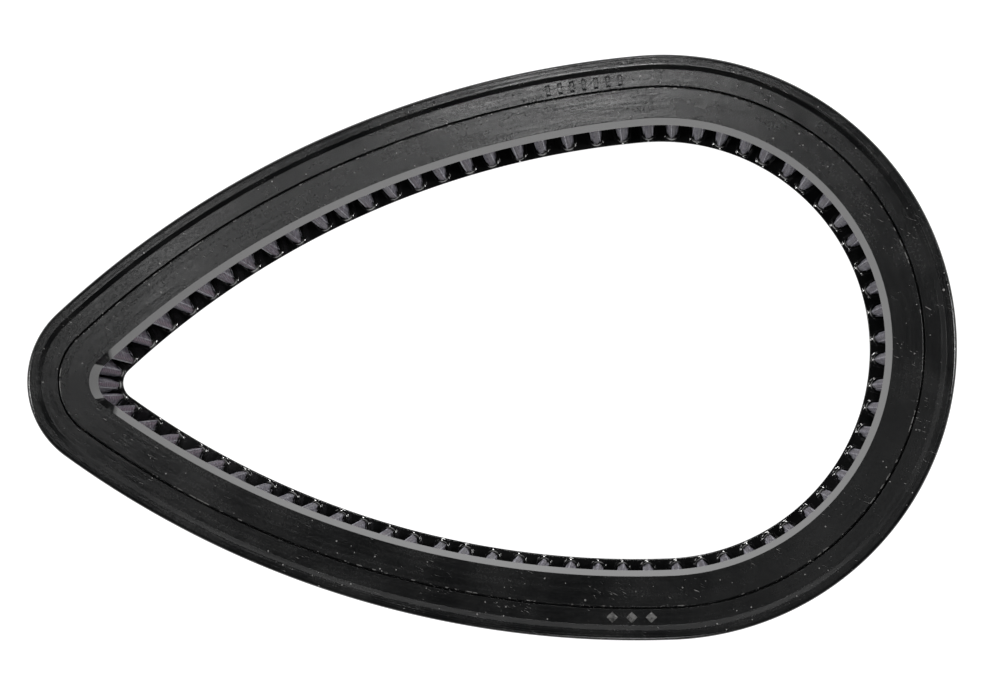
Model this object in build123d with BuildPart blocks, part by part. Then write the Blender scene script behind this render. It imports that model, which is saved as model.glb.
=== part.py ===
"""A teardrop air-filter element.

Two moulded rubber seals hold a pleated ring between them. The ring is an outer wire screen,
layers of cotton gauze and an inner wire screen, folded together, and a glued seam joins its
two ends. Millimetres. The origin is the middle of the rear sealing face, +Z runs along the
air opening to the front sealing face, and +X runs from the small end to the large end.
"""

import math
import os

from build123d import *

# The outline is four arcs that meet smoothly: a small end, a large end and two long sides.
length = 230.0
width = 144.0
height = 35.0
small_end_radius = 22.8
side_radius = 243.0

# Each moulded seal, from its outer edge inwards. A lip is an opening's narrowest part.
seal_thickness = 6.0
rim_width = 2.6
rim_rounding = 1.0
channel_width = 5.1
channel_depth = 0.9
channel_side_angle = 40.0
groove_width = 0.4
groove_depth = 0.5
band_drop = 0.35
band_rounding = 0.3
front_lip_inset = 16.9
rear_lip_step = 1.5
wall_draft = 11.3

# The folded pack of screens and gauze. A fold's tightest layer goes round a hollow of its own radius.
# Rubber covers the folds by a cover outside and a skin inside.
pleat_count = 76
screen_thickness = 0.28
gauze_thickness = 0.19
gauze_layer_count = 4
fold_hollow = 0.09
outer_cover = 2.5
inner_skin = 0.3
pack_embed = 2.0

# The glued seam, counted in pleats from the small end, with its swell past the pack's faces.
seam_pleat = 45
seam_length = 3.0
seam_swell = 0.45

# Plain raised marks in the front seal's channel: a long row of bars and dots, a short row of lozenges.
mark_height = 0.3
mark_size = 2.8
bar_width = 1.1
long_row_x = 28.0
long_row_count = 7
long_row_pitch = 3.0
short_row_x = 31.4
short_row_count = 3
short_row_pitch = 4.8

# The centres and angles of the outline's arcs. A side arc's centre lies across the long axis from it.
large_end_radius = width / 2
small_end_x = small_end_radius - length / 2
large_end_x = length / 2 - large_end_radius
end_gap = large_end_x - small_end_x
small_reach = side_radius - small_end_radius
large_reach = side_radius - large_end_radius
side_run = (small_reach**2 - large_reach**2 + end_gap**2) / (2 * end_gap)
side_x = small_end_x + side_run
side_y = math.sqrt(small_reach**2 - side_run**2)
small_join = math.degrees(math.atan2(side_y, small_end_x - side_x))
large_join = math.degrees(math.atan2(side_y, large_end_x - side_x))

# The pack's sizes and places that follow from the ones above.
draft_slope = math.tan(math.radians(wall_draft))
pack_thickness = 2 * screen_thickness + gauze_layer_count * gauze_thickness
pack_bottom = seal_thickness - pack_embed
pack_height = height - 2 * pack_bottom
fold_radius = fold_hollow + pack_thickness / 2
fold_reach = fold_radius + pack_thickness / 2
outer_fold_inset = outer_cover + fold_reach
inner_fold_inset = front_lip_inset - draft_slope * pack_embed - inner_skin - fold_reach
middle_inset = (inner_fold_inset + outer_fold_inset) / 2


def outline_arcs(inset):
    """The outline moved inwards, from the small end's tip: each arc's centre, radius, start and turn."""
    small = small_end_radius - inset
    large = large_end_radius - inset
    side = side_radius - inset
    return (
        ((small_end_x, 0), small, -180, 180 - small_join),
        ((side_x, side_y), side, -small_join, small_join - large_join),
        ((large_end_x, 0), large, -large_join, 2 * large_join),
        ((side_x, -side_y), side, large_join, small_join - large_join),
        ((small_end_x, 0), small, small_join, 180 - small_join),
    )


def face_inside(edges):
    """The face inside a closed line of edges."""
    with BuildSketch(mode=Mode.PRIVATE) as outline:
        with BuildLine():
            add(edges)
        make_face()
    return outline.sketch


def teardrop(inset):
    """The face inside the outline moved inwards."""
    return face_inside([CenterArc(*arc) for arc in outline_arcs(inset)])


def point_along(inset, share):
    """The point at an inset, at a share of the way round the pack from the small end's tip."""
    lengths = [math.radians(turn) * radius for _, radius, _, turn in outline_arcs(middle_inset)]
    left = share * sum(lengths)
    arcs = list(zip(outline_arcs(inset), lengths))
    while left > arcs[0][1] and len(arcs) > 1:
        left -= arcs.pop(0)[1]
    (centre, radius, start, turn), run = arcs[0]
    angle = math.radians(start + turn * left / run)
    return Vector(centre[0] + radius * math.cos(angle), centre[1] + radius * math.sin(angle))


def fold_centres():
    """The centre of every fold: inner folds at even places, outer folds at odd places."""
    insets = (inner_fold_inset, outer_fold_inset)
    return [point_along(insets[place % 2], place / (2 * pleat_count)) for place in range(2 * pleat_count)]


def leg_angle(place):
    """The direction of the straight leg that leaves a fold, in degrees."""
    between = folds[(place + 1) % len(folds)] - folds[place]
    lean = math.degrees(math.asin(2 * fold_radius / between.length))
    heading = math.degrees(math.atan2(between.Y, between.X))
    return heading - lean if place % 2 == 0 else heading + lean


def pleated_line(offset):
    """The face inside the pack's middle line, moved towards the air opening by an offset."""
    edges = []
    for place, centre in enumerate(folds):
        arriving = leg_angle(place - 1)
        if place % 2 == 0:
            turn = -((arriving - leg_angle(place)) % 360)
            edges.append(CenterArc(centre, fold_radius + offset, arriving + 90, turn))
        else:
            turn = (leg_angle(place) - arriving) % 360
            edges.append(CenterArc(centre, fold_radius - offset, arriving - 90, turn))
    legs = [Line(fold @ 1, edges[(place + 1) % len(edges)] @ 0) for place, fold in enumerate(edges)]
    return face_inside(edges + legs)


def seam_section():
    """The seam's section: a rounded bead halfway along one leg."""
    place = 2 * seam_pleat
    middle = (folds[place] + folds[place + 1]) / 2
    with BuildSketch(mode=Mode.PRIVATE) as bead:
        with Locations(middle):
            SlotOverall(seam_length, pack_thickness + 2 * seam_swell, rotation=leg_angle(place))
    return bead.sketch


def save(piece, name):
    """Names a finished piece and writes its file."""
    piece.label = name
    export_step(piece, f"parts/{name}.step")


def pack_layer(name, outer_line, inner_line):
    """One layer of the pack, between two pleated lines and open at the seam."""
    with BuildPart() as layer:
        with BuildSketch(Plane.XY.offset(pack_bottom)):
            add(outer_line)
            add(inner_line, mode=Mode.SUBTRACT)
            add(seam, mode=Mode.SUBTRACT)
        extrude(amount=pack_height)
    save(layer.part, name)


def row_of_places(x, side, count, pitch):
    """Places along the channel's middle on one long side, as the side arc's centre and polar places."""
    radius = side_radius - rim_width - channel_width / 2
    middle = side * math.degrees(math.acos((x - side_x) / radius))
    step = math.degrees(pitch / radius)
    return [
        Location((side_x, -side * side_y)) * Location((0, 0), angle) * Location((radius, 0))
        for angle in (middle + step * (place - (count - 1) / 2) for place in range(count))
    ]


def channel_marks():
    """The raised marks, seen from the front."""
    long_row = row_of_places(long_row_x, 1, long_row_count, long_row_pitch)
    short_row = row_of_places(short_row_x, -1, short_row_count, short_row_pitch)
    with BuildSketch(mode=Mode.PRIVATE) as marks:
        with Locations(long_row[::2]):
            Rectangle(mark_size, bar_width)
        with Locations(long_row[1::2]):
            Circle(mark_size / 2)
        with Locations(short_row):
            RegularPolygon(mark_size / 2, 4)
    return marks.sketch


def moulded_seal(name, face, lip_inset, marks=None):
    """One seal, behind the plane of its sealing face, with its lip next to the pack."""
    forwards = Axis(face.origin, face.z_dir)
    floor = face.offset(-channel_depth)
    groove_inset = rim_width + channel_width
    band_inset = groove_inset + groove_width
    with BuildPart() as seal:
        with BuildSketch(face):
            add(teardrop(0))
        extrude(amount=-seal_thickness)
        fillet(seal.faces().sort_by(forwards)[-1].edges(), rim_rounding)
        with BuildSketch(face):
            add(teardrop(rim_width))
        extrude(amount=-channel_depth, taper=channel_side_angle, mode=Mode.SUBTRACT)
        with BuildSketch(floor):
            add(teardrop(groove_inset))
            add(teardrop(band_inset), mode=Mode.SUBTRACT)
        extrude(amount=-groove_depth, mode=Mode.SUBTRACT)
        with BuildSketch(floor):
            add(teardrop(band_inset))
        extrude(amount=channel_depth - band_drop)
        fillet(seal.faces(Select.LAST).sort_by(forwards)[-1].edges(), band_rounding)
        with BuildSketch(face):
            add(teardrop(lip_inset - draft_slope * seal_thickness))
        extrude(amount=-seal_thickness, taper=wall_draft, mode=Mode.SUBTRACT)
        if marks:
            with BuildSketch(floor):
                add(marks)
            extrude(amount=mark_height)
        add(pack_space, mode=Mode.SUBTRACT)
    save(seal.part, name)


os.makedirs("parts", exist_ok=True)
folds = fold_centres()
seam = seam_section()

# The faces of the layers, from the outer screen to the inner screen.
thicknesses = [screen_thickness] + [gauze_thickness] * gauze_layer_count + [screen_thickness]
offsets = [sum(thicknesses[:count]) - pack_thickness / 2 for count in range(len(thicknesses) + 1)]
lines = [pleated_line(offset) for offset in offsets]
gauze_names = [f"gauze_layer_{number + 1}" for number in range(gauze_layer_count)]
for layer_name, outer, inner in zip(["outer_screen", *gauze_names, "inner_screen"], lines, lines[1:]):
    pack_layer(layer_name, outer, inner)

with BuildPart() as seam_bead:
    with BuildSketch(Plane.XY.offset(pack_bottom)):
        add(seam)
    extrude(amount=pack_height)
save(seam_bead.part, "seam_bead")

# The rubber is moulded round the pack's ends, so each seal leaves out the whole pack and its seam.
with BuildPart(mode=Mode.PRIVATE) as pack:
    with BuildSketch(Plane.XY.offset(pack_bottom)):
        add(lines[0])
        add(lines[-1], mode=Mode.SUBTRACT)
        add(seam)
    extrude(amount=pack_height)
pack_space = pack.part

rear_face = Plane(origin=(0, 0, 0), x_dir=(1, 0, 0), z_dir=(0, 0, -1))
moulded_seal("front_seal", Plane.XY.offset(height), front_lip_inset, channel_marks())
moulded_seal("rear_seal", rear_face, front_lip_inset + rear_lip_step)
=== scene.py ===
"""Dresses the teardrop air-filter element: moulded rubber seals round a pleated pack of gauze and wire."""

import math

import bpy
import numpy as np
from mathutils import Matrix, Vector


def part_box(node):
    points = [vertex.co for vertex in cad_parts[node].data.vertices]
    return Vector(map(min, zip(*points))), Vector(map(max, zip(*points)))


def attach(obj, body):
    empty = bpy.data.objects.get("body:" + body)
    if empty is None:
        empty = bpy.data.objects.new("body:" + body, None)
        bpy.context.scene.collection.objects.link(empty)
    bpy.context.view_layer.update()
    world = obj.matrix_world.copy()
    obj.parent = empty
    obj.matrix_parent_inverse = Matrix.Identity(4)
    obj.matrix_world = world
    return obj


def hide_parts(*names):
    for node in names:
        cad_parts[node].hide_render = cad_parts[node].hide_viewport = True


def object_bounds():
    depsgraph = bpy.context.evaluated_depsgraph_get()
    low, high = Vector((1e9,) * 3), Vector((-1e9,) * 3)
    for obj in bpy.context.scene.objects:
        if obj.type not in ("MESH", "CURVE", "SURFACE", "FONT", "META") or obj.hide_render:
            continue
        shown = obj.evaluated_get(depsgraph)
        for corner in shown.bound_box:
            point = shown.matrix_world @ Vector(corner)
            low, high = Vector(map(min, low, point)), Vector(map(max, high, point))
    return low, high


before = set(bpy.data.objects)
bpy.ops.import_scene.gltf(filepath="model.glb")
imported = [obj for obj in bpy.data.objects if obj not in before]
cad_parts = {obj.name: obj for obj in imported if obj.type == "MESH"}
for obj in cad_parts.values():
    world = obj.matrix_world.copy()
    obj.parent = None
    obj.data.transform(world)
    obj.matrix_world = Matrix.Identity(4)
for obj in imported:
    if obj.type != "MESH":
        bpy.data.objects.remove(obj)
cad_low, cad_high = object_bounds()

MM = 0.001

# The outline, as in the CAD model: its overall size comes from the frame.
LENGTH = round(cad_high.x - cad_low.x, 3)
WIDTH = round(cad_high.y - cad_low.y, 3)
HEIGHT = cad_high.z
SMALL_END_RADIUS = 22.8 * MM
SIDE_RADIUS = 243 * MM
SEAL_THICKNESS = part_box("rear_seal")[1].z

# The folded pack, with the CAD model's pleats in slightly thinner layers. Its inner folds lean outwards a
# little towards the front seal, and its rear end stands a little off centre.
PLEATS = 76
SCREEN = 0.26 * MM
GAUZE = 0.16 * MM
GAUZE_LAYERS = 4
FOLD_RADIUS = 0.64 * MM
OUTER_COVER = 2.5 * MM
PACK_THICKNESS = 2 * SCREEN + GAUZE_LAYERS * GAUZE
FRONT_TIP_INSET = 16.6 * MM
REAR_TIP_INSET = 17.55 * MM
REAR_SHIFT = (0.25 * MM, -0.22 * MM)
PACK_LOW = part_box("seam_bead")[0].z
PACK_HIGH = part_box("seam_bead")[1].z
WANDER = 0.34 * MM

# The folded line's points: some round each fold and some along the leg after it. The line starts at the seam,
# halfway along a leg.
ARC_POINTS = 9
LEG_POINTS = 3
PLACE_POINTS = ARC_POINTS + LEG_POINTS
SEAM_PLEAT = 45
SEAM_START = 2 * SEAM_PLEAT * PLACE_POINTS + ARC_POINTS + LEG_POINTS // 2

# The woven screens, whose wires end a little way inside each seal.
WIRE_RADIUS = 0.14 * MM
RING_WIRE_PITCH = 1.75 * MM
UPRIGHT_WIRE_PITCH = 1.85 * MM
WEAVE = 0.09 * MM
FIRST_RING_WIRE = 6.4 * MM
FRONT_WIRE_END = HEIGHT - SEAL_THICKNESS + 0.4 * MM

# The seals' moulded section, measured inwards from the outline and down from the sealing face. It starts part
# of the way down its outer edge, and BAND_ACROSS is how far along it from there the flat band begins.
EDGE_START = 3 * MM
RIM_WIDTH = 2.6 * MM
RIM_DEPTH = 2 * MM
CHANNEL_DEPTH = 0.9 * MM
CHANNEL_START = 3.65 * MM
GROOVE_START = 7.62 * MM
GROOVE_WIDTH = 0.56 * MM
GROOVE_DEPTH = 0.85 * MM
BAND_START = GROOVE_START + GROOVE_WIDTH
BAND_ACROSS = 12.66 * MM
BAND_DROP = 0.35 * MM
FRONT_LIP = 16.9 * MM
REAR_LIP = 18.4 * MM
WALL_RUN = 1.2 * MM
BACK_WIDTH = 4.5 * MM
BACK_BEVEL = 0.4 * MM
GLOSSY_BACK = 5 * MM
CLOSE = 0.01 * MM
STATIONS = 800

# The plain raised marks in the front seal's channel: a long row of bars and a short row of lozenges.
MARK_HEIGHT = 0.3 * MM
MARK_SIZE = 2.8 * MM
BAR_WIDTH = 1.1 * MM
LONG_ROW_X = 28 * MM
LONG_ROW_COUNT = 7
LONG_ROW_PITCH = 3 * MM
SHORT_ROW_X = 31.4 * MM
SHORT_ROW_COUNT = 3
SHORT_ROW_PITCH = 4.8 * MM

# The rubber that climbed the pleats before it set: a little at each fold's tip, and further down its legs.
CLIMB_HEIGHT = 0.9 * MM
SIDE_CLIMB = 3.6 * MM
CLIMB_WIDTH = 1.0 * MM

# The seam's glue, as half of its length along the pack and half of its thickness.
GLUE_HALF_LENGTH = 1.35 * MM
GLUE_HALF_THICKNESS = 0.98 * MM

random = np.random.default_rng(11)


# ---------------------------------------------------------------- the teardrop and the folded pack

def outline_arcs():
    """The outline's arcs from the small end's tip: centre x, centre y, radius, start angle and turn."""
    large = WIDTH / 2
    small_x = SMALL_END_RADIUS - LENGTH / 2
    large_x = LENGTH / 2 - large
    gap = large_x - small_x
    small_reach = SIDE_RADIUS - SMALL_END_RADIUS
    large_reach = SIDE_RADIUS - large
    run = (small_reach**2 - large_reach**2 + gap**2) / (2 * gap)
    side_x = small_x + run
    side_y = math.sqrt(small_reach**2 - run**2)
    small_join = math.atan2(side_y, small_x - side_x)
    large_join = math.atan2(side_y, large_x - side_x)
    side_turn = small_join - large_join
    return np.array([
        (small_x, 0, SMALL_END_RADIUS, -math.pi, math.pi - small_join),
        (side_x, side_y, SIDE_RADIUS, -small_join, side_turn),
        (large_x, 0, large, -large_join, 2 * large_join),
        (side_x, -side_y, SIDE_RADIUS, large_join, side_turn),
        (small_x, 0, SMALL_END_RADIUS, small_join, math.pi - small_join),
    ])


ARCS = outline_arcs()
OUTER_FOLD_INSET = OUTER_COVER + FOLD_RADIUS + PACK_THICKNESS / 2
FRONT_FOLD_INSET = FRONT_TIP_INSET - FOLD_RADIUS - PACK_THICKNESS / 2
REAR_FOLD_INSET = REAR_TIP_INSET - FOLD_RADIUS - PACK_THICKNESS / 2
MIDDLE_INSET = (OUTER_FOLD_INSET + FRONT_FOLD_INSET) / 2
RUNS = ARCS[:, 4] * (ARCS[:, 2] - MIDDLE_INSET)
AROUND = RUNS.sum()


def place(share, inset):
    """Points inside the outline by an inset, at shares of the way round, and their inward normals."""
    share, inset = np.broadcast_arrays(np.asarray(share, float) % 1, np.asarray(inset, float))
    ends = np.cumsum(RUNS)
    arc = np.minimum(np.searchsorted(ends, share * AROUND, side="right"), len(RUNS) - 1)
    angle = ARCS[arc, 3] + ARCS[arc, 4] * (share * AROUND - (ends - RUNS)[arc]) / RUNS[arc]
    outward = np.stack([np.cos(angle), np.sin(angle)], -1)
    points = ARCS[arc, :2] + outward * (ARCS[arc, 2] - inset)[..., None]
    return points, -outward


def fold_line(inner_inset, shares):
    """The pack's folded middle line from the seam round: points, and their normals towards the opening."""
    places = np.arange(2 * PLEATS)
    inner = places % 2 == 0
    centres, _ = place(shares, np.where(inner, inner_inset, OUTER_FOLD_INSET))
    sign = np.where(inner, -1, 1)
    between = np.roll(centres, -1, 0) - centres
    lean = np.arcsin(2 * FOLD_RADIUS / np.hypot(*between.T))
    leaving = np.arctan2(between[:, 1], between[:, 0]) + sign * lean
    arriving = np.roll(leaving, 1)
    turn = sign * (sign * (leaving - arriving) % (2 * math.pi))
    steps = np.linspace(0, 1, ARC_POINTS)
    angle = (arriving - sign * math.pi / 2)[:, None] + turn[:, None] * steps
    spoke = np.stack([np.cos(angle), np.sin(angle)], -1)
    folds = centres[:, None] + FOLD_RADIUS * spoke
    normals = -sign[:, None, None] * spoke
    along = np.linspace(0, 1, LEG_POINTS + 2)[1:-1, None]
    legs = folds[:, -1:] * (1 - along) + np.roll(folds[:, :1], -1, 0) * along
    points = np.concatenate([folds, legs], 1).reshape(-1, 2)
    leg_normals = np.repeat(normals[:, -1:], LEG_POINTS, 1)
    normals = np.concatenate([normals, leg_normals], 1).reshape(-1, 2)
    return np.roll(points, -SEAM_START, 0), np.roll(normals, -SEAM_START, 0)


def uneven_shares():
    """Where each fold stands round the pack. A folded pack is never quite even.

    It is most even round its small end, and its outer folds stray half as far as its inner ones."""
    number = np.arange(2 * PLEATS)
    shares = number / (2 * PLEATS)
    loose = np.clip(np.minimum(shares, 1 - shares) * 12, 0.12, 1)
    wander = random.normal(0, WANDER, 2 * PLEATS) * np.where(number % 2 == 0, 1, 0.5)
    return shares + loose * wander / AROUND


SHARES = uneven_shares()
REAR_LINE = fold_line(REAR_FOLD_INSET, SHARES)
REAR_LINE = (REAR_LINE[0] + REAR_SHIFT, REAR_LINE[1])
FRONT_LINE = fold_line(FRONT_FOLD_INSET, SHARES)


def on_pack(index, offset, z):
    """Points on the pack, from places along its line, offsets towards the opening and heights.

    A place is a point's number along the line, and it need not be whole."""
    index, offset, z = np.broadcast_arrays(index, offset, z)
    whole = np.floor(index).astype(int)
    part = (index - whole)[..., None]
    rise = ((z - SEAL_THICKNESS) / (HEIGHT - 2 * SEAL_THICKNESS))[..., None]
    count = len(REAR_LINE[0])
    ends = []
    for points, normals in (REAR_LINE, FRONT_LINE):
        at = points[whole % count] * (1 - part) + points[(whole + 1) % count] * part
        facing = normals[whole % count] * (1 - part) + normals[(whole + 1) % count] * part
        ends.append(at + facing * offset[..., None])
    flat = ends[0] * (1 - rise) + ends[1] * rise
    return np.concatenate([flat, z[..., None]], -1)


def line_lengths():
    """How far along the folded line each of its points lies, halfway up the pack."""
    points = (REAR_LINE[0] + FRONT_LINE[0]) / 2
    steps = np.hypot(*np.diff(points, axis=0).T)
    return np.concatenate([[0], np.cumsum(steps)])


LENGTHS = line_lengths()
FLAT_LENGTH = LENGTHS[-1]


def even_places(count):
    """Places along the folded line, evenly spaced by length."""
    return np.interp(np.linspace(0, FLAT_LENGTH, count), LENGTHS, np.arange(len(LENGTHS)))


# ---------------------------------------------------------------- meshes

def grid_faces(rows, columns, close_rows, close_columns):
    """Quads over a grid of vertices numbered row by row."""
    row_numbers = np.arange(rows if close_rows else rows - 1)
    column_numbers = np.arange(columns if close_columns else columns - 1)
    i, j = np.meshgrid(row_numbers, column_numbers, indexing="ij")
    here, below, beside = i * columns, (i + 1) % rows * columns, (j + 1) % columns
    return np.stack([here + j, below + j, below + beside, here + beside], -1).reshape(-1, 4)


def make_object(name, vertices, faces, slot, uv=None, zone=None):
    """A smooth mesh piece on the root body, with its material and its material slot.

    uv is each vertex's place along and across the piece, in metres. zone is a pair of values at each vertex,
    and rubber_material says what they do."""
    mesh = bpy.data.meshes.new(name)
    vertices = np.asarray(vertices, np.float32).reshape(-1, 3)
    sizes = np.array([len(face) for face in faces])
    corners = np.concatenate(list(faces)).astype(np.int32)
    mesh.vertices.add(len(vertices))
    mesh.vertices.foreach_set("co", vertices.reshape(-1))
    mesh.loops.add(len(corners))
    mesh.loops.foreach_set("vertex_index", corners)
    mesh.polygons.add(len(sizes))
    mesh.polygons.foreach_set("loop_start", (np.cumsum(sizes) - sizes).astype(np.int32))
    mesh.update(calc_edges=True)
    mesh.polygons.foreach_set("use_smooth", np.ones(len(sizes), bool))
    for layer_name, values in (("lay", uv), ("zone", zone)):
        if values is not None:
            layer = mesh.uv_layers.new(name=layer_name)
            values = np.asarray(values, np.float32).reshape(-1, 2)
            layer.data.foreach_set("uv", values[corners].reshape(-1))
    mesh.validate()
    mesh.materials.append(MATERIALS[slot])
    piece = bpy.data.objects.new(name, mesh)
    bpy.context.scene.collection.objects.link(piece)
    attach(piece, "root")
    return piece


def rounded(corners, steps=5):
    """A closed line through corners given as (x, y, radius), each turned into an arc of its radius.

    A point stands close beside each end of an arc, so that the flats between arcs shade flat."""
    corners = [np.array(corner, float) for corner in corners]
    line = []
    for before, corner, after in zip(corners[-1:] + corners, corners, corners[1:] + corners[:1]):
        radius = corner[2]
        if radius == 0:
            line.append(corner[:2])
            continue
        to_before = (before - corner)[:2]
        to_after = (after - corner)[:2]
        to_before /= np.hypot(*to_before)
        to_after /= np.hypot(*to_after)
        half = math.acos(np.clip(to_before @ to_after, -1, 1)) / 2
        middle = to_before + to_after
        centre = corner[:2] + middle / np.hypot(*middle) * radius / math.sin(half)
        reach = radius / math.tan(half)
        first, last = corner[:2] + to_before * reach - centre, corner[:2] + to_after * reach - centre
        start = math.atan2(first[1], first[0])
        turn = (math.atan2(last[1], last[0]) - start + math.pi) % (2 * math.pi) - math.pi
        angles = start + turn * np.linspace(0, 1, steps)
        line.append(centre + first + to_before * radius * 0.15)
        line.extend(centre + radius * np.array([math.cos(angle), math.sin(angle)]) for angle in angles)
        line.append(centre + last + to_after * radius * 0.15)
    return np.array(line)


# ---------------------------------------------------------------- the pieces

def seal(name, lip, facing):
    """One moulded seal. facing is 1 for the front seal and -1 for the rear one."""
    section = rounded([
        (0, EDGE_START, 0),
        (0, 0, 0.9 * MM),
        (RIM_WIDTH, 0, 0.12 * MM),
        (CHANNEL_START, CHANNEL_DEPTH, 0.1 * MM),
        (GROOVE_START, CHANNEL_DEPTH, 0.05 * MM),
        (GROOVE_START + GROOVE_WIDTH / 2, CHANNEL_DEPTH + GROOVE_DEPTH, 0.04 * MM),
        (BAND_START + 0.04 * MM, BAND_DROP, 0.17 * MM),
        (lip - WALL_RUN, BAND_DROP, 0.07 * MM),
        (lip, SEAL_THICKNESS, 0.25 * MM),
        (lip - BACK_WIDTH, SEAL_THICKNESS, 0),
        (BACK_BEVEL, SEAL_THICKNESS, 0),
        (0, SEAL_THICKNESS - BACK_BEVEL, 0),
    ])
    inset, depth = section.T
    share = np.arange(STATIONS) / STATIONS
    points, _ = place(share[:, None], inset[None])
    depths = np.broadcast_to(depth, points.shape[:2])
    vertices = np.concatenate([points, depths[..., None]], -1).reshape(-1, 3)
    faces = grid_faces(STATIONS, len(section), True, True).tolist()
    across = np.concatenate([[0], np.cumsum(np.hypot(*np.diff(section, axis=0).T))])
    uv = np.stack(np.broadcast_arrays(share[:, None] * AROUND, across), -1).reshape(-1, 2)
    on_wall = inset > lip - WALL_RUN - CLOSE
    on_back = (depth > SEAL_THICKNESS - CLOSE) & (inset > GLOSSY_BACK)
    on_rim = (inset < RIM_WIDTH + CLOSE) & (depth < RIM_DEPTH)
    zone = np.tile(np.stack([on_wall | on_back, on_rim], -1), (STATIONS, 1))
    extras = [climbed_rubber(facing, side) for side in (1, -1)]
    if facing > 0:
        extras += raised_marks()
    for extra_vertices, extra_faces, extra_zone in extras:
        faces.extend([corner + len(vertices) for corner in face] for face in extra_faces)
        vertices = np.concatenate([vertices, extra_vertices])
        uv = np.concatenate([uv, extra_vertices[:, :2]])
        zone = np.concatenate([zone, np.broadcast_to(extra_zone, (len(extra_vertices), 2))])
    if facing > 0:
        vertices[:, 2] = HEIGHT - vertices[:, 2]
        faces = [face[::-1] for face in faces]
    piece = make_object(name, vertices, faces, "seal_rubber", uv, zone)
    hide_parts(name.replace("_rubber", ""))


def room_beside(points, normals, side):
    """How far each point of the folded line can move along its normal before it meets the line again."""
    room = np.full(len(points), 9 * MM)
    for step in range(2, 4 * PLACE_POINTS):
        for other in (np.roll(points, step, 0), np.roll(points, -step, 0)):
            gap = other - points
            reach = np.hypot(*gap.T)
            ahead = side * (gap * normals).sum(1) / reach
            meets = reach / (2 * np.maximum(ahead, 1e-6))
            room = np.where(ahead > 0.2, np.minimum(room, meets), room)
    return room


def away_from_tips(side):
    """Nothing at the tips of one face's folds and one down their legs, for every point of the folded line."""
    turn = np.linspace(-1, 1, ARC_POINTS) * math.pi / 2
    tip = np.concatenate([1 - np.cos(turn), np.ones(LEG_POINTS)])
    other = np.ones(PLACE_POINTS)
    pair = [tip, other] if side > 0 else [other, tip]
    return np.roll(np.tile(np.concatenate(pair), PLEATS), -SEAM_START)


def climbed_rubber(facing, side):
    """The rubber that climbed one face of the pleats, as a band along the folded line.

    Its depths are measured from the seal's face, as the section's are."""
    points, normals = FRONT_LINE if facing > 0 else REAR_LINE
    room = room_beside(points, normals, side) - PACK_THICKNESS / 2 - 0.05 * MM
    room = np.clip(room, 0, CLIMB_WIDTH)
    if side > 0:
        lip, _ = place(np.arange(4000) / 4000, FRONT_LIP if facing > 0 else REAR_LIP)
        gap = np.array([np.hypot(*(lip - point).T).min() for point in points])
        room = np.clip(gap - PACK_THICKNESS / 2 - 0.02 * MM, 0.1 * MM, room)
    angles = np.linspace(0, math.pi / 2, 10)
    outs = np.append(1 - np.cos(angles), 1.01)
    falls = np.append(1 - np.sin(angles), -0.1)
    steep = np.append(falls[:-1] ** 3, 0)
    number = np.arange(len(points))
    uneven = 1 + 0.22 * np.sin(number * 0.061) + 0.12 * np.sin(number * 0.37)
    height = CLIMB_HEIGHT * uneven
    down_legs = away_from_tips(side)
    out = PACK_THICKNESS / 2 - 0.1 * MM + np.minimum(outs * CLIMB_WIDTH, room[:, None])
    ring = points[:, None] + side * out[..., None] * normals[:, None]
    depth = SEAL_THICKNESS + height[:, None] * falls + (SIDE_CLIMB * down_legs)[:, None] * steep
    vertices = np.concatenate([ring, depth[..., None]], -1).reshape(-1, 3)
    faces = grid_faces(len(points), len(outs), True, False)[:, ::side].tolist()
    shine = np.repeat(np.maximum(1.8 * (down_legs - 1), -1), len(outs))
    return vertices, faces, np.stack([np.ones(len(shine)), shine], -1)


def raised_marks():
    """Plain raised marks on the channel's floor: seven bars on one side and three lozenges on the other."""
    side_x, side_y = ARCS[1, :2]
    radius = SIDE_RADIUS - (CHANNEL_START + GROOVE_START) / 2
    bar = np.array([(-1, -1), (1, -1), (1, 1), (-1, 1)]) * (MARK_SIZE / 2, BAR_WIDTH / 2)
    turns = np.arange(4) * math.pi / 2
    lozenge = np.stack([np.cos(turns), np.sin(turns)], -1) * MARK_SIZE / 2
    shapes = []
    for x, side, count, pitch, outline in (
        (LONG_ROW_X, 1, LONG_ROW_COUNT, LONG_ROW_PITCH, bar),
        (SHORT_ROW_X, -1, SHORT_ROW_COUNT, SHORT_ROW_PITCH, lozenge),
    ):
        middle = side * math.acos((x - side_x) / radius)
        for number in range(count):
            angle = middle + pitch / radius * (number - (count - 1) / 2)
            spin = np.array([[math.cos(angle), math.sin(angle)], [-math.sin(angle), math.cos(angle)]])
            centre = np.array([side_x, -side * side_y]) + radius * spin[0]
            rings = []
            for rise, size in ((-0.3, 1.05), (0.1, 1), (0.75, 0.8), (1, 0.68), (1, 0.62)):
                depths = np.full(len(outline), CHANNEL_DEPTH - rise * MARK_HEIGHT)
                rings.append(np.column_stack([centre + outline @ spin * size, depths]))
            vertices = np.concatenate(rings)
            faces = grid_faces(len(rings), len(outline), False, True).tolist()
            faces.append(list(range(len(vertices) - len(outline), len(vertices)))[::-1])
            shapes.append((vertices, faces, (min(side, 0), 0.0)))
    return shapes


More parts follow.
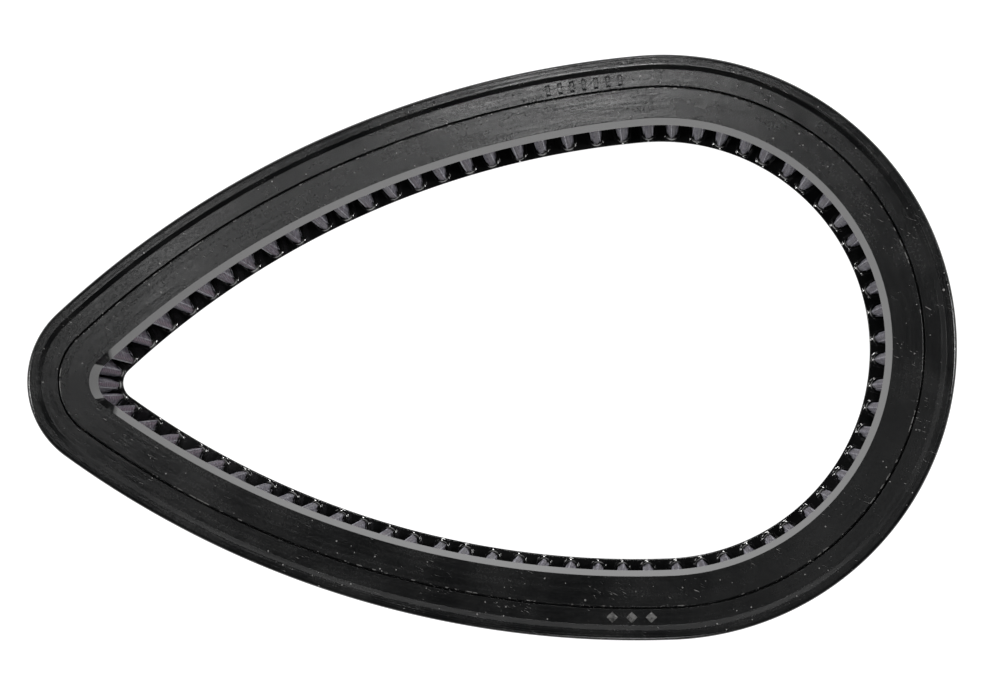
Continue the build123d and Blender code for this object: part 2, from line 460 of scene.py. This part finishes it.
def gauze_layer(number):
    """One layer of gauze: a thin pleated ribbon, open at the seam."""
    low = -PACK_THICKNESS / 2 + SCREEN + (number - 1) * GAUZE
    index = np.arange(1, len(REAR_LINE[0]) - 1)
    heights = np.linspace(PACK_LOW, PACK_HIGH, 9)
    faces_of_cloth = (low + 0.06 * GAUZE, low + 0.94 * GAUZE)
    outer, inner = (on_pack(index[:, None], offset, heights[None]) for offset in faces_of_cloth)
    section = np.concatenate([outer, inner[:, ::-1]], 1)
    rows, columns = section.shape[:2]
    steps = np.arange(len(heights) - 1)
    cap = np.stack([steps, steps + 1, columns - 2 - steps, columns - 1 - steps], -1)
    faces = np.concatenate([grid_faces(rows, columns, False, True), cap[:, ::-1], cap + (rows - 1) * columns])
    up = np.concatenate([heights, heights[::-1]])
    uv = np.stack(np.broadcast_arrays(np.linspace(0, FLAT_LENGTH, rows)[:, None], up), -1)
    piece = make_object(f"gauze_{number}", section, faces, "gauze", uv)
    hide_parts(f"gauze_layer_{number}")


def ring_wires(name, side, base, samples):
    """The wires that run round the pack and weave in and out of the upright ones."""
    heights = np.arange(FIRST_RING_WIRE, FRONT_WIRE_END, RING_WIRE_PITCH)
    sides = wire_sides(side)
    wave = np.cos(np.arange(len(samples)) * math.pi / 2)
    in_turn = np.where(np.arange(len(heights)) % 2, 1, -1)
    offsets = side * WEAVE * wave[None] * in_turn[:, None] + base
    rings = on_pack(
        samples[None, :, None],
        offsets[..., None] + WIRE_RADIUS * np.cos(sides),
        heights[:, None, None] + WIRE_RADIUS * np.sin(sides),
    )
    quads = grid_faces(len(samples), len(sides), False, True)
    per_ring = len(samples) * len(sides)
    faces = np.concatenate([quads + per_ring * k for k in range(len(heights))])[:, ::-1]
    return make_object(f"{name}_ring_wires", rings, faces, "wire_screen")


def upright_wires(name, side, base, crossings):
    """The wires that run from seal to seal."""
    low = FIRST_RING_WIRE - RING_WIRE_PITCH / 2
    heights = np.array([low, (low + FRONT_WIRE_END) / 2, FRONT_WIRE_END])
    sides = wire_sides(side)
    upright = on_pack(crossings[:, None], base, heights[None])
    ahead = on_pack(crossings[:, None] + 0.01, base, heights[None]) - upright
    ahead /= np.linalg.norm(ahead, axis=-1, keepdims=True)
    aside = np.stack([-ahead[..., 1], ahead[..., 0], np.zeros(ahead.shape[:2])], -1)
    across = np.cos(sides)[:, None] * aside[:, :, None] + np.sin(sides)[:, None] * ahead[:, :, None]
    bars = upright[:, :, None] + WIRE_RADIUS * across
    quads = grid_faces(len(heights), len(sides), False, True)
    per_bar = len(heights) * len(sides)
    faces = np.concatenate([quads + per_bar * k for k in range(len(crossings))])
    return make_object(f"{name}_upright_wires", bars, faces, "wire_screen")


def wire_sides(side):
    """The angles of a wire's three edges, with one edge towards the side that the screen is seen from."""
    return np.arange(3) * math.tau / 3 + (0 if side > 0 else math.pi)


def woven_screen(name, side):
    """A woven wire screen that follows the pleats. side is 1 towards the opening and -1 outside."""
    base = side * (PACK_THICKNESS / 2 - SCREEN + WIRE_RADIUS)
    crossings = even_places(int(FLAT_LENGTH / UPRIGHT_WIRE_PITCH))
    samples = even_places(2 * len(crossings) - 1)
    for piece in (ring_wires(name, side, base, samples), upright_wires(name, side, base, crossings)):
        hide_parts(name)


def seam_bead():
    """The glue that joins the pack's ends: an uneven ribbon of rubbery glue up one leg, thick at its foot."""
    heights = np.linspace(PACK_LOW, PACK_HIGH, 60)
    angles = np.linspace(0, 2 * math.pi, 20, endpoint=False)
    seam_place = len(REAR_LINE[0]) - 0.5
    centre = on_pack(seam_place, 0, heights)
    ahead = on_pack(seam_place + 0.1, 0, heights) - centre
    ahead[:, 2] = 0
    ahead /= np.linalg.norm(ahead, axis=1, keepdims=True)
    aside = np.stack([-ahead[:, 1], ahead[:, 0], np.zeros(len(ahead))], 1)
    foot = np.exp(-(((heights - SEAL_THICKNESS - 1 * MM) / (1.6 * MM)) ** 2))
    lump = 1 + 0.18 * np.sin(heights * 900) + 0.12 * np.sin(heights * 2300 + 1)
    lump *= 1 + 0.8 * foot
    along = GLUE_HALF_LENGTH * lump[:, None, None] * np.cos(angles)[None, :, None] * ahead[:, None]
    through = GLUE_HALF_THICKNESS * lump[:, None, None] * np.sin(angles)[None, :, None] * aside[:, None]
    vertices = (centre[:, None] + along + through).reshape(-1, 3)
    faces = grid_faces(len(heights), len(angles), False, True)[:, ::-1].tolist()
    faces.append(list(range(len(angles)))[::-1])
    faces.append(list(range(len(vertices) - len(angles), len(vertices))))
    piece = make_object("seam_glue_bead", vertices, faces, "seam_glue")
    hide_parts("seam_bead")


# ---------------------------------------------------------------- materials

def new_material(name):
    """A new material with its node tree and its main shader node."""
    material = bpy.data.materials.new(name)
    material.use_nodes = True
    tree = material.node_tree
    shader = next(node for node in tree.nodes if node.type == "BSDF_PRINCIPLED")
    return material, tree, shader


def add_node(tree, kind, inputs, **settings):
    """A shader node with its settings, and its inputs set or linked by name or number."""
    node = tree.nodes.new("ShaderNode" + kind)
    for key, value in settings.items():
        setattr(node, key, value)
    for key, value in inputs.items():
        if isinstance(value, bpy.types.NodeSocket):
            tree.links.new(value, node.inputs[key])
        else:
            node.inputs[key].default_value = value
    return node


def scaled(tree, vector, scale, turn=0.0):
    """A vector stretched by a scale, after a turn about its third axis."""
    turned = {"Vector": vector, "Rotation": (0, 0, turn)}
    vector = add_node(tree, "Mapping", turned, vector_type="POINT").outputs[0] if turn else vector
    return add_node(tree, "Mapping", {"Vector": vector, "Scale": scale}).outputs[0]


def parts(tree, vector):
    """A vector's three values."""
    return tuple(add_node(tree, "SeparateXYZ", {0: vector}).outputs)


def noise(tree, vector, scale, detail=3.0, rough=0.55, distortion=0.0):
    """A cloudy random value. scale is how many of its lumps fit in a metre."""
    inputs = {"Vector": vector, "Scale": scale, "Detail": detail, "Roughness": rough}
    return add_node(tree, "TexNoise", {**inputs, "Distortion": distortion}).outputs[0]


def ramp(tree, value, low, high, to_low=0.0, to_high=1.0):
    """A value carried from one range to another, smoothly and without going past its ends."""
    inputs = {"Value": value, "From Min": low, "From Max": high, "To Min": to_low, "To Max": to_high}
    return add_node(tree, "MapRange", inputs, interpolation_type="SMOOTHSTEP").outputs[0]


def join(tree, operation, first, second=0.0):
    """The result of one operation on one value or on two."""
    return add_node(tree, "Math", {0: first, 1: second}, operation=operation).outputs[0]


def blend(tree, share, first, second):
    """A colour between two others, each a socket or an (r, g, b)."""
    colours = {6: first, 7: second}
    colours = {key: (*value, 1) if isinstance(value, tuple) else value for key, value in colours.items()}
    return add_node(tree, "Mix", {0: share, **colours}, data_type="RGBA").outputs[2]


def specks(tree, vector, scale, size, rarity):
    """Round specks: the cells of a random pattern, with only the rarest cells lit."""
    cells = add_node(tree, "TexVoronoi", {"Vector": vector, "Scale": scale})
    lit = add_node(tree, "SeparateColor", {0: cells.outputs["Color"]})
    reach = join(tree, "MULTIPLY", lit.outputs[1], size)
    near = join(tree, "LESS_THAN", cells.outputs["Distance"], reach)
    return join(tree, "MULTIPLY", near, join(tree, "GREATER_THAN", lit.outputs[0], rarity))


def bump(tree, height, distance, normal=None):
    """A normal tilted by a height, as if a height of one stood a distance proud."""
    inputs = {"Height": height, "Distance": distance, "Strength": 1.0}
    if normal:
        inputs["Normal"] = normal
    return add_node(tree, "Bump", inputs).outputs[0]


def rubber_wear_and_edge_highlight(tree, objects, across, side_wall):
    """Where the rubber is pale: scratches, dust and a chipped band edge on its face, and worn lozenges. The
    pale chips along the band edge are partly real chips and partly a painted highlight on the edge's
    rounding.
    """
    scuff = noise(tree, scaled(tree, objects, (500, 5000, 500), 0.5), 1.0, 2.0, 0.5, 0.8)
    scuffed_places = ramp(tree, noise(tree, objects, 90.0), 0.5, 0.62)
    scratch = join(tree, "MULTIPLY", ramp(tree, scuff, 0.69, 0.74), scuffed_places)
    fine_dust = specks(tree, objects, 1400.0, 0.3, 0.95)
    dust = join(tree, "MAXIMUM", specks(tree, objects, 640.0, 0.19, 0.965), fine_dust)
    dust = join(tree, "MULTIPLY", dust, ramp(tree, noise(tree, objects, 38.0, 2.0), 0.4, 0.5))
    edge = join(tree, "ABSOLUTE", join(tree, "SUBTRACT", across, BAND_ACROSS))
    edge = join(tree, "MULTIPLY", ramp(tree, edge, 0.3 * MM, 0.1 * MM), ramp(tree, side_wall, 0.01, 0.0))
    # Pale chips on the band's rounded edge: partly real chips, partly a painted highlight where that edge
    # catches the light.
    chips_and_edge_highlight = join(tree, "MULTIPLY", edge, ramp(tree, noise(tree, objects, 420.0), 0.56, 0.6))
    mark = join(tree, "MAXIMUM", join(tree, "MAXIMUM", scratch, dust), join(tree, "MULTIPLY", chips_and_edge_highlight, 0.6))
    mark = join(tree, "MULTIPLY", mark, ramp(tree, side_wall, 1.0, 0.0))
    patches = ramp(tree, noise(tree, objects, 1100.0), 0.3, 0.6, 0.1, 0.5)
    return join(tree, "MAXIMUM", mark, join(tree, "MULTIPLY", ramp(tree, side_wall, 0.0, -1.0), patches))


def rubber_material():
    """Black moulded rubber: satin on its face, glossier inside, with streaks, smears, scratches and dust.

    The first value of the piece's zone is 1 on the glossy wall inside and -1 on worn lozenges. The second one
    is 1 on the rim, and falls to -1 on the shiny rubber at the fold tips."""
    material, tree, shader = new_material("moulded_rubber")
    objects = add_node(tree, "TexCoord", {}).outputs["Object"]
    _, across, _ = parts(tree, add_node(tree, "UVMap", {}, uv_map="lay").outputs[0])
    side_wall, rim, _ = parts(tree, add_node(tree, "UVMap", {}, uv_map="zone").outputs[0])
    flat = parts(tree, objects)
    lay = add_node(tree, "CombineXYZ", {0: flat[0], 1: flat[1], 2: across}).outputs[0]
    cloud = noise(tree, objects, 60.0, 5.0, 0.6)
    smear = noise(tree, scaled(tree, lay, (45, 45, 900)), 1.0, 4.0, 0.55, 0.4)
    streak = noise(tree, scaled(tree, lay, (9, 9, 3200)), 1.0, 2.0, 0.7)
    grain = noise(tree, objects, 1500.0, 3.0, 0.7)
    matte = ramp(tree, side_wall, 1.0, 0.0)
    wear_and_edge_highlight = rubber_wear_and_edge_highlight(tree, objects, across, side_wall)

    tint = blend(tree, ramp(tree, cloud, 0.35, 0.7), (0.0060, 0.0063, 0.0066), (0.0165, 0.0167, 0.0168))
    # The pale marks include a painted highlight along the band's edge, besides the real scratches, dust and
    # wear.
    tree.links.new(blend(tree, wear_and_edge_highlight, tint, (0.36, 0.355, 0.345)), shader.inputs["Base Color"])

    smeared = ramp(tree, smear, 0.3, 0.7, -0.03, 0.03)
    face_rough = join(tree, "ADD", ramp(tree, cloud, 0.3, 0.7, 0.19, 0.25), smeared)
    face_rough = join(tree, "ADD", face_rough, ramp(tree, grain, 0.35, 0.65, -0.03, 0.04))
    streaked = join(tree, "MULTIPLY", ramp(tree, streak, 0.35, 0.65, -0.09, 0.04), ramp(tree, rim, 0.5, 1.0))
    face_rough = join(tree, "ADD", face_rough, streaked)
    wall_rough = ramp(tree, cloud, 0.3, 0.7, 0.05, 0.08)
    roughs = {0: join(tree, "SUBTRACT", 1.0, matte), 2: face_rough, 3: wall_rough}
    tree.links.new(add_node(tree, "Mix", roughs).outputs[0], shader.inputs["Roughness"])
    warmth = blend(tree, matte, (1.0, 0.995, 0.985), (1.0, 1.0, 1.0))
    tree.links.new(warmth, shader.inputs["Specular Tint"])
    tree.links.new(ramp(tree, rim, 0.0, -1.0, 1.5, 2.3), shader.inputs["IOR"])

    normal = bump(tree, join(tree, "MULTIPLY", streak, ramp(tree, rim, 0.0, 1.0, 0.1, 1.0)), 0.035 * MM)
    for height, distance in ((grain, 0.02 * MM), (smear, 0.028 * MM), (cloud, 0.1 * MM)):
        normal = bump(tree, join(tree, "MULTIPLY", height, matte), distance, normal)
    tree.links.new(bump(tree, wear_and_edge_highlight, 0.02 * MM, normal), shader.inputs["Normal"])
    return material


def gauze_material():
    """Oiled cotton gauze: a plain weave, unevenly tinted by its oil and puffed out between the wires. Its
    colour also carries painted light and shade in bands at the ring wires' pitch.
    """
    material, tree, shader = new_material("cotton_gauze")
    lay = add_node(tree, "UVMap", {}, uv_map="lay").outputs[0]
    objects = add_node(tree, "TexCoord", {}).outputs["Object"]
    wander = noise(tree, lay, 700.0, 2.0)
    nudge = add_node(tree, "VectorMath", {0: wander, "Scale": 0.35 * MM}, operation="SCALE").outputs[0]
    loose = add_node(tree, "VectorMath", {0: lay, 1: nudge}, operation="ADD")
    threads = []
    for axis in ("X", "Y"):
        wave_inputs = {"Vector": loose.outputs[0], "Scale": 280.0}
        wave = add_node(tree, "TexWave", wave_inputs, bands_direction=axis)
        threads.append(wave.outputs["Fac"])
    weave = join(tree, "MAXIMUM", *threads)
    stain = noise(tree, objects, 26.0, 3.0, 0.6)
    forwards, _, _ = parts(tree, objects)
    pink = join(tree, "MULTIPLY", ramp(tree, forwards, -0.08, 0.02, 1.0, 0.25), ramp(tree, stain, 0.35, 0.6))
    cloth = blend(tree, pink, (0.09, 0.09, 0.12), (0.2, 0.095, 0.165))
    fibre = noise(tree, scaled(tree, lay, (3000, 900, 1)), 1.0, 3.0)
    _, height, _ = parts(tree, lay)
    above = join(tree, "SUBTRACT", height, FIRST_RING_WIRE)
    phase = join(tree, "MULTIPLY", above, math.tau / RING_WIRE_PITCH)
    puff_and_painted_shade = join(tree, "COSINE", phase)
    fluff = ramp(tree, fibre, 0.3, 0.7, 0.75, 1.1)
    shade = join(tree, "MULTIPLY", ramp(tree, weave, 0.2, 0.9, 0.5, 1.0), fluff)
    # Painted light and shade: the cloth's colour is lightest level with the ring wires and darkest halfway
    # between them.
    shade = join(tree, "MULTIPLY", shade, ramp(tree, puff_and_painted_shade, -0.3, 0.8, 0.05, 1.25))
    colour = blend(tree, shade, (0.03, 0.027, 0.04), cloth)
    tree.links.new(colour, shader.inputs["Base Color"])
    tree.links.new(ramp(tree, stain, 0.3, 0.7, 0.55, 0.85), shader.inputs["Roughness"])
    shader.inputs["Sheen Weight"].default_value = 0.25
    shader.inputs["Sheen Roughness"].default_value = 0.5
    normal = bump(tree, puff_and_painted_shade, 0.14 * MM, bump(tree, weave, 0.06 * MM))
    tree.links.new(bump(tree, fibre, 0.04 * MM, normal), shader.inputs["Normal"])
    return material


def wire_material():
    """Aluminium wire, dulled unevenly by oil."""
    material, tree, shader = new_material("aluminium_wire")
    objects = add_node(tree, "TexCoord", {}).outputs["Object"]
    film = noise(tree, objects, 420.0, 3.0)
    colour = blend(tree, ramp(tree, film, 0.35, 0.65), (0.23, 0.22, 0.26), (0.44, 0.43, 0.48))
    tree.links.new(colour, shader.inputs["Base Color"])
    shader.inputs["Metallic"].default_value = 0.3
    tree.links.new(ramp(tree, film, 0.3, 0.7, 0.45, 0.28), shader.inputs["Roughness"])
    draw = noise(tree, scaled(tree, objects, (6000, 6000, 1500)), 1.0, 2.0)
    tree.links.new(bump(tree, draw, 0.01 * MM), shader.inputs["Normal"])
    return material


def glue_material():
    """Black glue, glossy and lumpy, with trapped dust."""
    material, tree, shader = new_material("seam_glue")
    objects = add_node(tree, "TexCoord", {}).outputs["Object"]
    lumps = noise(tree, objects, 900.0, 3.0)
    dust = specks(tree, objects, 1700.0, 0.2, 0.96)
    colour = blend(tree, ramp(tree, lumps, 0.3, 0.7), (0.008, 0.008, 0.009), (0.016, 0.015, 0.017))
    tree.links.new(blend(tree, dust, colour, (0.2, 0.2, 0.2)), shader.inputs["Base Color"])
    tree.links.new(ramp(tree, lumps, 0.3, 0.7, 0.1, 0.22), shader.inputs["Roughness"])
    tree.links.new(bump(tree, lumps, 0.25 * MM), shader.inputs["Normal"])
    return material


# ---------------------------------------------------------------- build

MATERIALS = {
    "seal_rubber": rubber_material(),
    "wire_screen": wire_material(),
    "gauze": gauze_material(),
    "seam_glue": glue_material(),
}
seal("front_seal_rubber", FRONT_LIP, 1)
seal("rear_seal_rubber", REAR_LIP, -1)
for number in range(1, GAUZE_LAYERS + 1):
    gauze_layer(number)
woven_screen("inner_screen", 1)
woven_screen("outer_screen", -1)
seam_bead()

# ---------------------------------------------------------------- floor, lights and camera

MIDDLE = (0, 0, 0)
FLOOR_SIZE = 6
FLOOR_DROP = 0.2 * MM
BACKDROP_RADIUS = 2.9
BACKDROP_HEIGHT = 3
PAPER_GREY = 0.25
WORLD_STRENGTH = 0.01

# Softboxes that stand round the object: small ones high up, and wide low ones that light the inner wall.
SPOT_DISTANCE = 1.1
SPOT_HEIGHT = 1.0
SPOT_SIZE = 0.25
WALL_DISTANCE = 1.2
WALL_HEIGHT = 0.2
WALL_WIDTH = 1.6
WALL_DEPTH = 0.36
WALL_AIM = (0, 0, 0.02)

LENS = 87.9
CAMERA_PLACE = (0.0320, -0.0174, 0.6324)
CAMERA_TURN = (0.0287, 0.0510, -0.0625)

floor_paper, _, paper_shader = new_material("floor_paper")
paper_shader.inputs["Base Color"].default_value = (PAPER_GREY, PAPER_GREY, PAPER_GREY, 1)
paper_shader.inputs["Emission Color"].default_value = (1, 1, 1, 1)
paper_shader.inputs["Emission Strength"].default_value = 1.0

bpy.ops.mesh.primitive_plane_add(size=FLOOR_SIZE, location=(0, 0, -FLOOR_DROP))
floor = bpy.context.object
floor.name = "floor"
floor.data.materials.append(floor_paper)

# A pale wall far behind the object. It only shows behind it, and lights nothing.
bpy.ops.mesh.primitive_cylinder_add(
    vertices=96, radius=BACKDROP_RADIUS, depth=BACKDROP_HEIGHT, end_fill_type="NOTHING", location=(0, 0, 1.4)
)
backdrop = bpy.context.object
backdrop.name = "backdrop"
backdrop.data.materials.append(floor_paper)
backdrop.visible_diffuse = False
backdrop.visible_glossy = False
backdrop.visible_transmission = False
backdrop.visible_shadow = False

world = bpy.data.worlds.new("studio")
world.use_nodes = True
world.node_tree.nodes["Background"].inputs["Color"].default_value = (0.9, 0.95, 1.0, 1)
world.node_tree.nodes["Background"].inputs["Strength"].default_value = WORLD_STRENGTH
bpy.context.scene.world = world


def soft_light(name, location, target, width, depth, power):
    """A rectangular softbox that faces a target."""
    data = bpy.data.lights.new(name, "AREA")
    data.shape = "RECTANGLE"
    data.size = width
    data.size_y = depth
    data.energy = power
    light = bpy.data.objects.new(name, data)
    light.location = location
    light.rotation_euler = (Vector(target) - Vector(location)).to_track_quat("-Z", "Y").to_euler()
    bpy.context.scene.collection.objects.link(light)


# Overhead softboxes, whose mirror images make the broad sheen on the moulded face.
soft_light("key_softbox", (0.0, 0.32, 1.5), MIDDLE, 0.21, 0.1, 1.44)
soft_light("left_softbox", (-0.36, 0.16, 1.5), MIDDLE, 0.16, 0.16, 0.45)
soft_light("right_softbox", (0.24, -0.13, 1.5), MIDDLE, 0.2, 0.2, 0.1)
for name, x, y, power in (
    ("east", 1, 0, 5.0),
    ("north", 0, 1, 5.0),
    ("west", -1, 0, 5.0),
    ("south", 0, -1, 2.0),
):
    spot = (x * SPOT_DISTANCE, y * SPOT_DISTANCE, SPOT_HEIGHT)
    soft_light(f"{name}_spot_softbox", spot, MIDDLE, SPOT_SIZE, SPOT_SIZE, power)
for name, x, y, power in (
    ("east", 1, 0, 1.0),
    ("northeast", 0.7, 0.7, 1.0),
    ("north", 0, 1, 1.8),
    ("northwest", -0.7, 0.7, 1.2),
    ("west", -1, 0, 1.0),
):
    wall = (x * WALL_DISTANCE, y * WALL_DISTANCE, WALL_HEIGHT)
    soft_light(f"{name}_wall_softbox", wall, WALL_AIM, WALL_WIDTH, WALL_DEPTH, power)

camera_data = bpy.data.cameras.new("camera")
camera_data.lens = LENS
camera = bpy.data.objects.new("camera", camera_data)
camera.location = CAMERA_PLACE
camera.rotation_euler = CAMERA_TURN
bpy.context.scene.collection.objects.link(camera)
bpy.context.scene.camera = camera
bpy.context.scene.view_settings.view_transform = "Standard"
